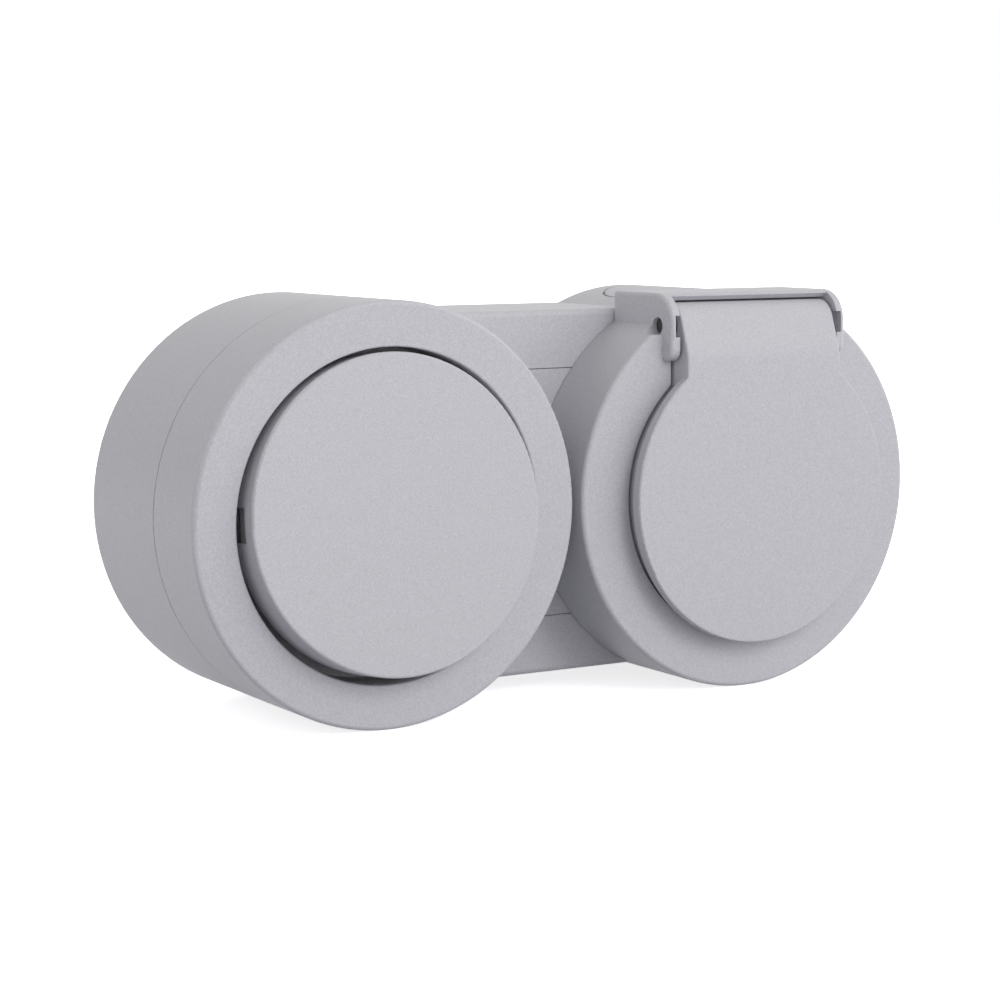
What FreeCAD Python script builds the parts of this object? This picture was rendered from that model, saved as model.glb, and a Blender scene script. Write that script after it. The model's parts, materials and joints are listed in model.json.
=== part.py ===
import FreeCAD, Part
import math
import os
from FreeCAD import Vector

# Overall sizes in millimetres: X to the right, Y into the wall, Z up, wall face at Y = 0
unit_radius = 40.0
unit_gap = 2.0
back_depth = 28.5
cover_depth = 17.5
side_wall = 2.2
rear_wall = 2.2
front_wall = 2.2
ring_rounding = 0.9
seam_gap = 0.2
seam_gap_depth = 1.0
parting_gap = 0.3
slip_gap = 0.15
running_gap = 0.05

# Overlap of shapes that merge, reach of a cut past its wall, and closeness of equal lengths
bite = 0.5
overcut = 1.0
tolerance = 0.01

# Back box
bridge_step = 3.5
bridge_rounding = 1.2
rear_relief = 0.8
rear_rim = 3.0
rear_rib = 3.0
wall_slot_reach = 21.0
wall_slot_z = 18.0
wall_slot_radius = 2.2
wall_slot_length = 8.0
wall_pad_margin = 3.6
post_inset = 4.0
post_radius = 3.4
post_rib = 1.8
entry_radius = 12.5
entry_depth = 15.0
rear_entry_radius = 10.0
groove_width = 0.5
groove_depth = 0.6
wire_passage = 11.0

# Bridge cover
panel_half_height = 24.8
panel_thickness = 2.4
panel_ledge = 1.6
panel_ledge_width = 2.0
hook_width = 6.0
hook_thickness = 1.4
hook_nose = 0.9

# Cover spigots and their seals
spigot_depth = 4.0
spigot_wall = 1.9
collar_depth = 3.0
seal_width = 1.6
seal_thickness = 1.4
seal_setback = 1.2

# Rocker and its well
ring_width = 8.55
well_wall = 1.8
well_depth = 10.0
well_floor = 2.0
bezel_rounding = 0.4
rocker_gap = 1.45
rocker_face_height = 7.6
rocker_depth = 8.0
rocker_wall = 2.0
rocker_rounding = 0.5
rocker_tilt = 6.0
pivot_setback = 4.2
trunnion_radius = 1.55
lug_half_width = 3.4
lug_inner_x = 15.0
lug_thickness = 3.0
rib_thickness = 2.0
notch_height = 6.4
notch_setback = 3.2
notch_depth = 1.4
notch_pad = 2.2
tongue_half_width = 4.0
tongue_thickness = 2.0
tongue_tip_radius = 1.5
tongue_length = 10.8
tongue_window = 5.6
tongue_web_foot = 6.0
membrane_radius = 13.0
membrane_thickness = 0.8
membrane_lip = 1.4

# Steel mounting frames and the screws
frame_thickness = 1.2
frame_setback = 1.5
frame_clearance = 2.4
frame_side_web = 2.0
screw_radius = 1.25
screw_head_radius = 2.7
screw_head_height = 1.8
screw_recess = 0.9
driver_slot_half = 0.4
blind_gap = 1.0
frame_screw_length = 14.0
cover_screw_x = 13.0
cover_screw_inset = 2.6
cover_screw_length = 14.0
stud_head = 0.5
stud_head_radius = 2.0

# Switch mechanism
body_screw_setback = 2.4
body_post_gap = 1.0
body_rear = 9.0
cavity_half_width = 8.5
cavity_half_height = 12.0
cavity_rear = 13.0
lever_pivot_depth = 23.0
lever_arm = 8.0
lever_half_width = 4.5
lever_thickness = 3.2
lever_nose_reach = 7.4
lever_nose_radius = 0.8
fork_prong = 1.6
fork_gap = 0.3
fork_length = 3.0
pin_radius = 1.0
pin_seat = 1.2
boss_radius = 2.6
blade_thickness = 0.6
blade_half_width = 2.5
contact_reach = 5.5
contact_radius = 1.5
contact_height = 0.8
contact_gap = 0.1
contact_land = 1.0
pin_plate_reach = 2.5
link_half_height = 1.0
strip_thickness = 0.8
terminal_length = 8.0
terminal_size = 5.4
wire_radius = 1.5
wire_clamp = 0.9
leaf_thickness = 0.4
leaf_half_height = 8.0
leaf_crest = 1.9
leaf_slope = 3.0

# Hinge block of the socket cover
neck_gap = 0.65
ear_thickness = 2.0
hinge_front = 3.1
hinge_corner = 6.0
hinge_foot_drop = 6.8
hinge_foot_rounding = 2.4
ear_rounding = 0.8
hinge_setback = 0.6
roof_front = 0.5
roof_lip = 0.7
roof_undercut = 1.5
hinge_pin_drop = 6.4
hinge_pin_depth = 1.8
hinge_pin_radius = 1.65
hinge_pin_recess = 0.9
barrel_radius = 4.5
barrel_gap = 0.4
pin_relief_radius = 3.0
pin_relief_depth = 2.5
pocket_wall = 1.8
ear_slot_half_height = 2.1
ear_slot_depth = 2.7
ear_slot_wall = 0.95

# Lid
lid_margin = 9.8
lid_front = 5.0
lid_thickness = 2.0
lid_rounding = 0.4
lid_skirt_gap = 0.7
lid_skirt_wall = 1.4
lid_skirt_reach = 1.2
lid_lip_inset = 5.0
lid_lip_wall = 1.2
neck_half_width = 18.8
neck_reach = 1.4
neck_wall = 1.9
neck_slope = 20.0
neck_blend = 9.0
spring_pocket = 6.6
spring_pocket_radius = 3.5
spring_wire = 0.7
spring_turns = 8
spring_crest = 0.3
spring_radius = 2.3
spring_leg = 4.8
spring_window = 2.9
seal_stand_off = 1.5

# Socket face and its recess
recess_lap = 0.9
recess_depth = 3.5
recess_blend = 1.2
shelf_thickness = 2.0
flange_gap = 1.1
flange_thickness = 1.5
plug_radius = 19.7
plug_depth = 17.5
cup_wall = 2.0
cup_floor = 3.0
pin_spacing = 19.0
plug_pin_radius = 2.4
plug_pin_gap = 0.1
plug_pin_length = 19.0
key_half_width = 2.6
key_height = 1.5
key_setback = 2.0
insert_screw_length = 12.0
base_post_gap = 1.1
base_half_width = 23.0
base_rear = 6.0
sleeve_wall = 0.7
sleeve_slit_half = 0.4
sleeve_root = 4.0
clip_half_width = 3.0
clip_gap = 17.4
clip_length = 13.5
clip_bend = 7.5
clip_crank = 3.0
clip_shoulder = 1.2
clip_lead = 1.5
clip_slot_margin = 1.0
wire_terminal_x = 17.4
wire_terminal_y = 14.0
earth_terminal_z = 14.0

# Planes and places worked out from the sizes above
unit_x = unit_radius + unit_gap / 2
wall_slot_x = unit_x + wall_slot_reach
bridge_half_height = unit_radius - bridge_step
joint_y = -back_depth
ring_y = joint_y - cover_depth
box_inner_radius = unit_radius - side_wall
floor_y = -(rear_relief + rear_wall)
spigot_radius = box_inner_radius - slip_gap
spigot_inner_radius = spigot_radius - spigot_wall
frame_front_y = joint_y + frame_setback
frame_rear_y = frame_front_y + frame_thickness
frame_radius = box_inner_radius - seal_thickness - frame_clearance
post_z = frame_radius - post_inset
shoulder_half_height = post_z - post_radius - body_post_gap
cover_screw_z = shoulder_half_height - cover_screw_inset
body_half_height = cover_screw_z - body_screw_setback
base_radius = post_z - post_radius - base_post_gap
bezel_radius = unit_radius - ring_width
rocker_radius = bezel_radius - rocker_gap
terminal_inner_x = cavity_half_width + pin_seat + strip_thickness + slip_gap
body_half_width = terminal_inner_x + terminal_size + screw_head_height + slip_gap
well_front_y = ring_y + well_depth
well_rear_y = well_front_y + well_floor
pivot_y = ring_y + pivot_setback
rocker_face_y = pivot_y - rocker_face_height
tongue_tip_y = pivot_y + tongue_length
membrane_rear_y = well_rear_y + membrane_thickness
lever_y = -lever_pivot_depth
lever_ratio = tongue_length / lever_arm
lever_tilt = rocker_tilt * lever_ratio
shelf_y = ring_y + recess_depth
face_y = shelf_y - flange_thickness
plug_floor_y = face_y + plug_depth
cup_rear_y = plug_floor_y + cup_floor
cup_radius = plug_radius + cup_wall
frame_half_width = cup_radius + parting_gap + frame_side_web
lid_radius = unit_radius - lid_margin
recess_radius = lid_radius - recess_lap
lid_skirt_radius = recess_radius - lid_skirt_gap
lid_lip_radius = lid_skirt_radius - lid_lip_inset
flange_radius = recess_radius - flange_gap
hinge_inner_x = neck_half_width + neck_gap
hinge_half_width = hinge_inner_x + ear_thickness
hinge_top = unit_radius
hinge_pin_z = hinge_top - hinge_pin_drop
hinge_foot_z = hinge_pin_z - hinge_foot_drop
hinge_y = ring_y - hinge_front
hinge_pin_y = ring_y + hinge_pin_depth
lid_y = ring_y - lid_front
pin_hole_radius = plug_pin_radius + plug_pin_gap
both_units = (-unit_x, unit_x)
origin = Vector(0, 0, 0)


def block(x, y, z):
    """Box between two X, two Y and two Z values."""
    low = Vector(min(x), min(y), min(z))
    return Part.makeBox(abs(x[1] - x[0]), abs(y[1] - y[0]), abs(z[1] - z[0]), low)


def rod(radius, y, x=0.0, z=0.0):
    """Cylinder along Y between two Y values."""
    return Part.makeCylinder(radius, abs(y[1] - y[0]), Vector(x, min(y), z), Vector(0, 1, 0))


def cross_rod(radius, x, y, z):
    """Cylinder along X between two X values."""
    return Part.makeCylinder(radius, abs(x[1] - x[0]), Vector(min(x), y, z), Vector(1, 0, 0))


def upright_rod(radius, x, y, z):
    """Cylinder along Z between two Z values."""
    return Part.makeCylinder(radius, abs(z[1] - z[0]), Vector(x, y, min(z)), Vector(0, 0, 1))


def tube(outer, inner, y):
    """Ring round the unit's own axis between two Y values."""
    return rod(outer, y).cut(rod(inner, y))


def slot(radius, length, y, x, z):
    """Round-ended slot along X, its whole length given, through two Y values."""
    reach = length / 2 - radius
    ends = rod(radius, y, x - reach, z).fuse(rod(radius, y, x + reach, z))
    return ends.fuse(block((x - reach, x + reach), y, (z - radius, z + radius))).removeSplitter()


def joined(shapes):
    """One solid from several that meet."""
    return shapes[0].multiFuse(shapes[1:]).removeSplitter()


def moved(shape, x=0.0, y=0.0, z=0.0):
    """Copy of a shape, shifted."""
    copy = shape.copy()
    copy.translate(Vector(x, y, z))
    return copy


def turned_about_x(shape, y, z, degrees):
    """Copy of a shape, turned about a line along X."""
    copy = shape.copy()
    copy.rotate(Vector(0, y, z), Vector(1, 0, 0), degrees)
    return copy


def mirrored_x(shape):
    """Shape reflected across the unit's middle plane."""
    return shape.mirror(origin, Vector(1, 0, 0))


def edges_where(shape, test):
    """Edges whose middle point passes a test."""
    found = []
    for edge in shape.Edges:
        middle = edge.valueAt((edge.FirstParameter + edge.LastParameter) / 2)
        if test(edge, middle):
            found.append(edge)
    return found


def rounded_where(shape, radius, test):
    """Fillet on the edges that pass a test."""
    return shape.makeFillet(radius, edges_where(shape, test))


def front_circle(radius, y):
    """Test for the circle of one radius that lies in one Y plane."""
    def test(edge, middle):
        if not isinstance(edge.Curve, Part.Circle):
            return False
        return abs(edge.Curve.Radius - radius) < tolerance and abs(middle.y - y) < tolerance
    return test


def side_profile(edges, x):
    """Profile drawn in the Y-Z plane, pulled between two X values."""
    face = Part.Face(Part.Wire(edges))
    return moved(face.extrude(Vector(x[1] - x[0], 0, 0)), x=x[0])


def line(start, end):
    """Straight edge between two (y, z) points."""
    return Part.LineSegment(Vector(0, *start), Vector(0, *end)).toShape()


def quarter(start, centre, radius, angle, end):
    """Arc between two (y, z) points, through the point at an angle on its circle."""
    turn = math.radians(angle)
    middle = Vector(0, centre[0] + radius * math.cos(turn), centre[1] + radius * math.sin(turn))
    return Part.Arc(Vector(0, *start), middle, Vector(0, *end)).toShape()


def bent_strip(points, thickness, x):
    """Strip of sheet bent along a line of (y, z) points, with round bends."""
    pieces = []
    for start, end in zip(points, points[1:]):
        run = math.hypot(end[0] - start[0], end[1] - start[1])
        angle = math.degrees(math.atan2(end[1] - start[1], end[0] - start[0]))
        leaf = block(x, (0, run), (-thickness / 2, thickness / 2))
        pieces.append(moved(turned_about_x(leaf, 0, 0, angle), y=start[0], z=start[1]))
    for bend in points[1:-1]:
        pieces.append(cross_rod(thickness / 2, x, bend[0], bend[1]))
    return joined(pieces)


def seated_screw(seat_y, length, x=0.0, z=0.0):
    """Screw along Y with a slotted head on its seat."""
    top_y = seat_y - screw_head_height
    shank = rod(screw_radius, (seat_y, seat_y + length), x, z)
    head = rod(screw_head_radius, (top_y, seat_y), x, z)
    slot_x = (x - screw_head_radius, x + screw_head_radius)
    driver_slot = block(slot_x, (top_y, top_y + screw_recess), (z - driver_slot_half, z + driver_slot_half))
    return joined([shank, head]).cut(driver_slot)


def bridge_body(half_height, front, rear, rounding):
    """Straight middle of the back box, rounded along its top and bottom front edges."""
    body = block(both_units, (front, rear), (-half_height, half_height))
    def front_edge(edge, middle):
        return abs(middle.y - front) < tolerance and abs(middle.x) < tolerance
    return rounded_where(body, rounding, front_edge)


def panel_outline(half_height, y, gap):
    """Waisted plate between the two round units."""
    plate = block(both_units, y, (-half_height, half_height))
    for x in both_units:
        plate = plate.cut(rod(box_inner_radius + gap, y, x))
    return plate


def back_box():
    """Double round box with a bridge, its rear recess, slots, posts and knock-outs."""
    rounds = [rod(unit_radius, (joint_y, 0), x) for x in both_units]
    box = joined(rounds + [bridge_body(bridge_half_height, joint_y, 0, bridge_rounding)])
    for x in both_units:
        box = box.cut(rod(box_inner_radius, (joint_y, floor_y), x))
    ledge_y = joint_y + panel_thickness
    inner_half = bridge_half_height - side_wall
    cavity = block(both_units, (ledge_y + panel_ledge, floor_y), (-inner_half, inner_half))
    for x in both_units:
        cavity = cavity.cut(rod(unit_radius, (joint_y, 0), x))
    box = box.cut(cavity)
    box = box.cut(panel_outline(panel_half_height + slip_gap, (joint_y, ledge_y), 0))
    window_half = panel_half_height - panel_ledge_width
    window = block(both_units, (ledge_y, ledge_y + panel_ledge), (-window_half, window_half))
    for x in both_units:
        window = window.cut(rod(unit_radius, (joint_y, 0), x))
    box = box.cut(window)
    passage_x = unit_x - math.sqrt(box_inner_radius ** 2 - wire_passage ** 2) + side_wall
    passage = block((-passage_x, passage_x), (ledge_y + panel_ledge, floor_y), (-wire_passage, wire_passage))
    box = box.cut(passage)
    return box.cut(rear_recess()).cut(wall_slots()).fuse(posts()).cut(pilot_holes()).cut(knock_outs())


def rear_recess():
    """Shallow recess in the wall face, leaving a rim, a middle rib and a pad round each slot."""
    depth = (-rear_relief, 0)
    inner = unit_radius - rear_rim
    half = bridge_half_height - rear_rim
    rounds = [rod(inner, depth, x) for x in both_units]
    recess = joined(rounds + [block(both_units, depth, (-half, half))])
    for x in (-wall_slot_x, wall_slot_x):
        for z in (-wall_slot_z, wall_slot_z):
            pad_length = wall_slot_length + 2 * wall_pad_margin
            recess = recess.cut(slot(wall_slot_radius + wall_pad_margin, pad_length, depth, x, z))
    return recess.cut(block((-rear_rib / 2, rear_rib / 2), depth, (-half, half)))


def wall_slots():
    """Four slotted holes for the screws into the wall."""
    through = (floor_y - overcut, overcut)
    places = [(x, z) for x in (-wall_slot_x, wall_slot_x) for z in (-wall_slot_z, wall_slot_z)]
    return Part.makeCompound([slot(wall_slot_radius, wall_slot_length, through, x, z) for x, z in places])


def posts():
    """Ribbed posts that carry the two mounting frames."""
    shapes = []
    for x in both_units:
        for side in (-1, 1):
            post = rod(post_radius, (frame_rear_y, floor_y), x, side * post_z)
            rib_z = (side * (post_z + post_radius - bite), side * (box_inner_radius + bite))
            rib_y = (joint_y + spigot_depth + parting_gap, floor_y)
            rib = block((x - post_rib / 2, x + post_rib / 2), rib_y, rib_z)
            shapes.append(post.fuse(rib))
    return Part.makeCompound(shapes)


def pilot_holes():
    """Blind holes in the posts for the frame screws."""
    depth = (frame_rear_y, frame_rear_y + frame_screw_length)
    places = [(x, side * post_z) for x in both_units for side in (-1, 1)]
    return Part.makeCompound([rod(screw_radius + running_gap, depth, x, z) for x, z in places])


def knock_outs():
    """Thin grooves that outline the cable entries above, below and behind."""
    y = -entry_depth
    span = (-unit_radius - overcut, unit_radius + overcut)
    outline = upright_rod(entry_radius, unit_x, y, span)
    outline = outline.cut(upright_rod(entry_radius - groove_width, unit_x, y, span))
    bands = outline.cut(rod(unit_radius - groove_depth, (joint_y - overcut, overcut), unit_x))
    shapes = [bands]
    for x in both_units:
        depth = (-rear_relief - groove_depth, -rear_relief)
        ring = rod(rear_entry_radius, depth, x).cut(rod(rear_entry_radius - groove_width, depth, x))
        shapes.append(ring)
    return Part.makeCompound(shapes)


def bridge_cover():
    """Waisted panel that closes the wiring bridge, with two snap hooks behind."""
    rear_y = joint_y + panel_thickness
    panel = panel_outline(panel_half_height, (joint_y, rear_y), slip_gap)
    hook_z = panel_half_height - panel_ledge_width - parting_gap
    half = hook_width / 2
    for side in (-1, 1):
        leg_end = rear_y + panel_ledge + slip_gap + 2 * hook_nose
        leg = block((-half, half), (rear_y, leg_end), (side * hook_z, side * (hook_z - hook_thickness)))
        under_ledge = rear_y + panel_ledge + slip_gap
        edges = [line((under_ledge, side * hook_z), (under_ledge, side * (hook_z + hook_nose))),
                 line((under_ledge, side * (hook_z + hook_nose)), (leg_end, side * hook_z)),
                 line((leg_end, side * hook_z), (under_ledge, side * hook_z))]
        panel = joined([panel, leg, side_profile(edges, (-half, half))])
    return panel


def cover_seal():
    """Square-section rubber ring in the spigot groove of a cover."""
    front = joint_y + seal_setback
    return tube(box_inner_radius, box_inner_radius - seal_thickness, (front, front + seal_width))


def cover_blank():
    """Skirt, closed front and locating spigot that both covers start from."""
    body = rod(unit_radius, (joint_y, ring_y))
    body = rounded_where(body, ring_rounding, front_circle(unit_radius, ring_y))
    seam_y = (joint_y - seam_gap, joint_y)
    body = body.cut(tube(unit_radius + overcut, unit_radius - seam_gap_depth, seam_y))
    body = joined([body, rod(spigot_radius, (joint_y, joint_y + spigot_depth))])
    groove_front = joint_y + seal_setback
    groove_radius = box_inner_radius - seal_thickness
    groove = rod(spigot_radius + overcut, (groove_front, groove_front + seal_width))
    body = body.cut(groove.cut(rod(groove_radius, (groove_front, groove_front + seal_width))))
    body = body.cut(rod(spigot_inner_radius, (joint_y + spigot_depth, joint_y - collar_depth)))
    return body


def switch_cover():
    """Round cover with a well for the rocker and two lugs that carry it."""
    cover = cover_blank()
    cavity = rod(box_inner_radius, (joint_y - collar_depth, ring_y + front_wall))
    cover = cover.cut(cavity)
    well = tube(bezel_radius + well_wall, bezel_radius, (well_rear_y, ring_y + front_wall / 2))
    floor = rod(bezel_radius + well_wall, (well_front_y, well_rear_y))
    cover = cover.cut(rod(bezel_radius, (ring_y - overcut, ring_y + front_wall + overcut)))
    cover = joined([cover, well, floor])
    cover = rounded_where(cover, bezel_rounding, front_circle(bezel_radius, ring_y))
    for side in (-1, 1):
        lug_x = (side * lug_inner_x, side * (lug_inner_x + lug_thickness))
        foot = block(lug_x, (pivot_y, well_front_y + well_floor / 2), (-lug_half_width, lug_half_width))
        cover = joined([cover, foot, cross_rod(lug_half_width, lug_x, pivot_y, 0)])
        cover = cover.cut(cross_rod(trunnion_radius + running_gap, lug_x, pivot_y, 0))
    through = (well_front_y - overcut, well_rear_y + overcut)
    cover = cover.cut(block((-tongue_window, tongue_window), through, (-tongue_window, tongue_window)))
    for side in (-1, 1):
        hole = rod(screw_radius + parting_gap, through, side * cover_screw_x, side * cover_screw_z)
        cover = cover.cut(hole)
    return cover


def rocker_body():
    """Rocker before it is tilted: dished cap, pivot ribs, drive tongue and pry notch."""
    rear_y = rocker_face_y + rocker_depth
    inner_y = rocker_face_y + rocker_wall
    cap = rod(rocker_radius, (rocker_face_y, rear_y))
    cap = rounded_where(cap, rocker_rounding, front_circle(rocker_radius, rocker_face_y))
    cap = cap.cut(rod(rocker_radius - rocker_wall, (inner_y, rear_y)))
    parts = [cap]
    rib_inner_x = lug_inner_x + lug_thickness + parting_gap
    for side in (-1, 1):
        rib_x = (side * rib_inner_x, side * (rib_inner_x + rib_thickness))
        rib_half = lug_half_width + rib_thickness
        parts.append(block(rib_x, (inner_y - bite, pivot_y), (-rib_half, rib_half)))
        parts.append(cross_rod(lug_half_width, rib_x, pivot_y, 0))
        stub_x = (side * (lug_inner_x - slip_gap), side * (rib_inner_x + bite))
        parts.append(cross_rod(trunnion_radius, stub_x, pivot_y, 0))
    tongue_x = (-tongue_half_width, tongue_half_width)
    half = tongue_thickness / 2
    parts.append(block(tongue_x, (inner_y - bite, tongue_tip_y), (-half, half)))
    parts.append(cross_rod(tongue_tip_radius, tongue_x, tongue_tip_y, 0))
    for side in (-1, 1):
        web_x = (side * (tongue_half_width - rib_thickness), side * tongue_half_width)
        low = (inner_y - bite, -tongue_web_foot)
        high = (inner_y - bite, tongue_web_foot)
        tip = (pivot_y, 0)
        parts.append(side_profile([line(low, high), line(high, tip), line(tip, low)], web_x))
    pad_x = (-rocker_radius + notch_depth, -rocker_radius + notch_depth + notch_pad)
    pad_half = notch_height / 2 + rocker_wall
    parts.append(block(pad_x, (inner_y - bite, rear_y), (-pad_half, pad_half)))
    body = joined(parts)
    notch_x = (-rocker_radius - overcut, -rocker_radius + notch_depth)
    notch_y = (rocker_face_y + notch_setback, rear_y + overcut)
    return body.cut(block(notch_x, notch_y, (-notch_height / 2, notch_height / 2)))


def rocker():
    """Rocker at rest, tilted so that its lower edge stands out."""
    return turned_about_x(rocker_body(), pivot_y, 0, -rocker_tilt)


def rocker_membrane():
    """Rubber diaphragm behind the well floor, with a lip that grips the tongue."""
    sheet = rod(membrane_radius, (well_rear_y, membrane_rear_y))
    reach = (well_rear_y + membrane_rear_y) / 2 - pivot_y
    centre_z = -reach * math.sin(math.radians(rocker_tilt))
    hole_z = tongue_thickness / 2 + 2 * parting_gap
    hole_x = tongue_half_width + parting_gap
    lip_z = hole_z + membrane_thickness
    lip_x = hole_x + membrane_thickness
    lip_front_y = well_rear_y - membrane_lip
    lip = block((-lip_x, lip_x), (lip_front_y, well_rear_y), (centre_z - lip_z, centre_z + lip_z))
    hole_y = (lip_front_y - overcut, membrane_rear_y + overcut)
    hole = block((-hole_x, hole_x), hole_y, (centre_z - hole_z, centre_z + hole_z))
    return joined([sheet, lip]).cut(hole)


def frame_plate():
    """Steel plate that a mechanism is fixed to, with slots for its two screws."""
    depth = (frame_front_y, frame_rear_y)
    flats = block((-frame_half_width, frame_half_width), depth, (-frame_radius, frame_radius))
    plate = rod(frame_radius, depth).common(flats)
    for side in (-1, 1):
        radius = screw_radius + parting_gap
        plate = plate.cut(slot(radius, 4 * radius, depth, 0, side * post_z))
    return plate


def switch_frame():
    """Mounting frame of the switch, with its window, stud holes and cover screw holes."""
    depth = (frame_front_y, frame_rear_y)
    half_x = body_half_width + slip_gap
    half_z = body_half_height + slip_gap
    plate = frame_plate().cut(block((-half_x, half_x), depth, (-half_z, half_z)))
    for x in (-cover_screw_x, cover_screw_x):
        for z in (-cover_screw_z, cover_screw_z):
            plate = plate.cut(rod(screw_radius + running_gap, depth, x, z))
    return plate


def terminal_chamber(side):
    """Space in the switch body for one terminal, open towards the wall."""
    inner_x = cavity_half_width + pin_seat
    outer_x = body_half_width - strip_thickness
    half = terminal_size / 2 + parting_gap
    centre = terminal_centre_z()
    return block((side * inner_x, side * outer_x), (-body_rear, terminal_front_y() - parting_gap),
                 (centre - half, centre + half))


def terminal_front_y():
    """Front of the switch terminals."""
    return -cavity_rear - terminal_length


def terminal_centre_z():
    """Height of the middle of the switch terminals."""
    return fixed_contact_z() - terminal_size / 2


def fixed_contact_z():
    """Height of the fixed contact's face, just under the blade's button when it is closed."""
    drop = math.radians(lever_tilt)
    button_z = -(lever_thickness / 2 + blade_thickness + contact_height)
    edge = contact_reach + contact_radius
    return -edge * math.sin(drop) + button_z * math.cos(drop) - contact_gap


def switch_body():
    """Moulded switch housing with the lever cavity, shoulders, studs and terminal chambers."""
    body = block((-body_half_width, body_half_width), (membrane_rear_y, -body_rear),
                 (-body_half_height, body_half_height))
    shoulder = block((-body_half_width, body_half_width), (frame_rear_y, -body_rear),
                     (-shoulder_half_height, shoulder_half_height))
    parts = [body, shoulder]
    for side in (-1, 1):
        stud_x = -side * cover_screw_x
        stud_z = side * cover_screw_z
        parts.append(rod(screw_radius, (frame_front_y, frame_rear_y + bite), stud_x, stud_z))
        parts.append(rod(stud_head_radius, (frame_front_y - stud_head, frame_front_y), stud_x, stud_z))
    body = joined(parts)
    body = body.cut(block((-cavity_half_width, cavity_half_width), (membrane_rear_y, -cavity_rear),
                          (-cavity_half_height, cavity_half_height)))
    pin_x = cavity_half_width + pin_seat
    body = body.cut(cross_rod(pin_radius + running_gap, (-pin_x, pin_x), lever_y, 0))
    for side in (-1, 1):
        body = body.cut(terminal_chamber(side))
        depth = (frame_rear_y, well_front_y + cover_screw_length + blind_gap)
        body = body.cut(rod(screw_radius + parting_gap, depth, side * cover_screw_x, side * cover_screw_z))
        screw_x = (side * (cavity_half_width + terminal_size / 2), side * (body_half_width + overcut))
        body = body.cut(cross_rod(screw_head_radius, screw_x, terminal_screw_y(), terminal_centre_z()))
    path = switch_strip_path()
    body = body.cut(block((0, cavity_half_width + pin_seat + overcut), path, fixed_strip_z(slip_gap)))
    return body.cut(line_strip_space())


def terminal_screw_y():
    """Depth of the two terminal screws of the switch."""
    return -cavity_rear - terminal_length / 2


def switch_strip_path():
    """Front and rear of the fixed contact strip."""
    centre = lever_y + contact_reach
    reach = contact_radius + contact_land
    return (centre - reach, centre + reach)


def fixed_strip_z(gap):
    """Bottom and top of the fixed contact strip, with a gap all round."""
    top = fixed_contact_z()
    return (top - strip_thickness - gap, top + gap)


def line_strip_space():
    """Slot in the wall of the switch body for the strip that meets the lever pin."""
    inner = cavity_half_width + pin_seat
    reach = pin_plate_reach + parting_gap
    return block((-inner, -inner - strip_thickness - slip_gap), (lever_y - reach, -body_rear),
                 (terminal_centre_z() - terminal_size / 2, reach))


def lever_body():
    """Lever before it is tilted: fork, pivot boss, contact arm and snap nose."""
    half_z = lever_thickness / 2
    x = (-lever_half_width, lever_half_width)
    boss = cross_rod(boss_radius, x, lever_y, 0)
    arm = block(x, (lever_y - lever_arm + fork_length / 2, lever_y + lever_nose_reach), (-half_z, half_z))
    nose = cross_rod(lever_nose_radius, x, lever_y + lever_nose_reach, 0)
    gap_half = tongue_tip_radius + fork_gap
    prong_y = (lever_y - lever_arm - fork_length / 2, lever_y - lever_arm + fork_length / 2 + fork_prong)
    parts = [boss, arm, nose]
    for side in (-1, 1):
        prong_z = (side * gap_half, side * (gap_half + fork_prong))
        parts.append(block(x, prong_y, prong_z))
    web_y = (prong_y[1] - fork_prong, prong_y[1])
    parts.append(block(x, web_y, (-gap_half - fork_prong, gap_half + fork_prong)))
    lever = joined(parts)
    return lever.cut(cross_rod(pin_radius + running_gap, x, lever_y, 0))


def contact_lever():
    """Moulded lever at rest, its rear end up and the contacts open."""
    return turned_about_x(lever_body(), lever_y, 0, lever_tilt)


def lever_pin():
    """Steel pin through the lever, seated in both walls of the switch body."""
    reach = cavity_half_width + pin_seat
    return cross_rod(pin_radius, (-reach, reach), lever_y, 0)


def moving_contact():
    """Brass blade under the lever, with a silver-faced button."""
    top = -lever_thickness / 2
    x = (-blade_half_width, blade_half_width)
    start = lever_y + boss_radius + slip_gap
    blade = block(x, (start, lever_y + lever_nose_reach - lever_nose_radius), (top - blade_thickness, top))
    button_z = (top - blade_thickness - contact_height, top - blade_thickness)
    button = upright_rod(contact_radius, 0, lever_y + contact_reach, button_z)
    return turned_about_x(joined([blade, button]), lever_y, 0, lever_tilt)


def terminal_cage(side):
    """Brass cage that clamps one wire of the switch."""
    inner_x = terminal_inner_x
    outer_x = inner_x + terminal_size
    centre = terminal_centre_z()
    half = terminal_size / 2
    depth = (terminal_front_y(), -cavity_rear)
    cage = block((side * inner_x, side * outer_x), depth, (centre - half, centre + half))
    middle_x = side * (inner_x + outer_x) / 2
    cage = cage.cut(rod(wire_radius, depth, middle_x, centre))
    screw_x = (middle_x, side * (outer_x + overcut))
    return cage.cut(cross_rod(screw_radius + running_gap, screw_x, terminal_screw_y(), centre))


def fixed_contact():
    """Brass strip under the lever's button, with its terminal on the right."""
    strip = block((-blade_half_width, terminal_inner_x + bite), switch_strip_path(), fixed_strip_z(0))
    return joined([strip, terminal_cage(1)])


def line_contact():
    """Brass strip against the end of the lever pin, with its terminal on the left."""
    inner = cavity_half_width + pin_seat
    centre = terminal_centre_z()
    plate = block((-inner, -inner - strip_thickness), (lever_y - pin_plate_reach, -cavity_rear),
                  (centre - link_half_height, pin_plate_reach))
    link = block((-inner, -inner - strip_thickness - slip_gap - bite), (terminal_front_y(), -cavity_rear),
                 (centre - link_half_height, centre + link_half_height))
    return joined([plate, link, terminal_cage(-1)])


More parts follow.
